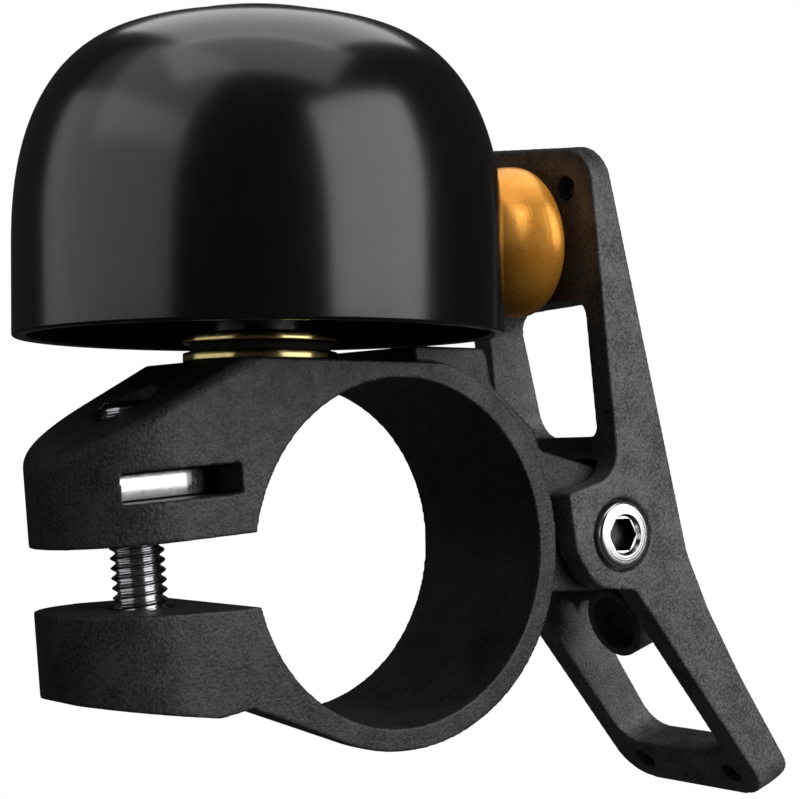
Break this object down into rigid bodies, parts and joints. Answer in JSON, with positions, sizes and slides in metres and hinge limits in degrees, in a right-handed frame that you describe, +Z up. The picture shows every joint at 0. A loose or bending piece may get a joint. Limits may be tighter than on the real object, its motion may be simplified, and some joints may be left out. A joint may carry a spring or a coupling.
{
  "type": "bicycle bell",
  "caption": "Handlebar bell: a domed metal gong on a split nylon bar clamp with a clamp screw, rung by a sprung pivoting lever that carries a turned brass striker.",
  "frame": {"origin": "bottom centre of the bounding box; the handlebar bore's axis runs along Y at x = -6.59 mm, z = 21.75 mm", "axes": "+Y along the handlebar bore axis, +X from the bore towards the lever pivot, +Z up through the dome"},
  "size_m": [0.065, 0.036, 0.0614],
  "materials": {
    "nylon": "fine mould texture",
    "lacquered_dome": "gloss black",
    "steel": "bright plated",
    "dark_steel": "black oxide",
    "brass": "turned",
    "gold_zinc": "yellow plated",
    "rubber": "matt"
  },
  "bodies": {
    "bracket": {"clamp_bracket": "nylon", "square_nut": "steel", "bell_dome": "lacquered_dome", "dome_screw": "lacquered_dome", "crown_washer": "rubber", "dome_spacer": "dark_steel", "upper_washer": "gold_zinc", "damping_washer": "rubber", "flanged_insert": "gold_zinc", "pivot_sleeve": "gold_zinc"},
    "lever": {"lever": "nylon", "striker": "brass", "striker_screw": "dark_steel", "pivot_screw": "steel", "pivot_nut": "steel", "return_spring": "dark_steel"},
    "screw_washer": {"clamp_washer": "steel"},
    "screw": {"clamp_screw": "steel"}
  },
  "joints": [
    {"name": "lever_pivot", "type": "hinge", "parent": "bracket", "child": "lever", "pos_m": [0.01377, 0, 0.02246], "axis": [0, 1, 0], "range_deg": [-2.3, 12], "stiffness_Nm_per_rad": 0.05},
    {"name": "screw_travel", "type": "slide", "parent": "bracket", "child": "screw_washer", "axis": [0.0785, 0, -0.9969], "range_m": [0, 0.0056]},
    {"name": "screw_turn", "type": "hinge", "parent": "screw_washer", "child": "screw", "pos_m": [-0.02443, 0, 0.02035], "axis": [0.0785, 0, -0.9969], "range_deg": [0, 2880]}
  ],
  "couplings": [
    {"joint": "screw_turn", "follows": "screw_travel", "rad_per_m": 8976}
  ]
}
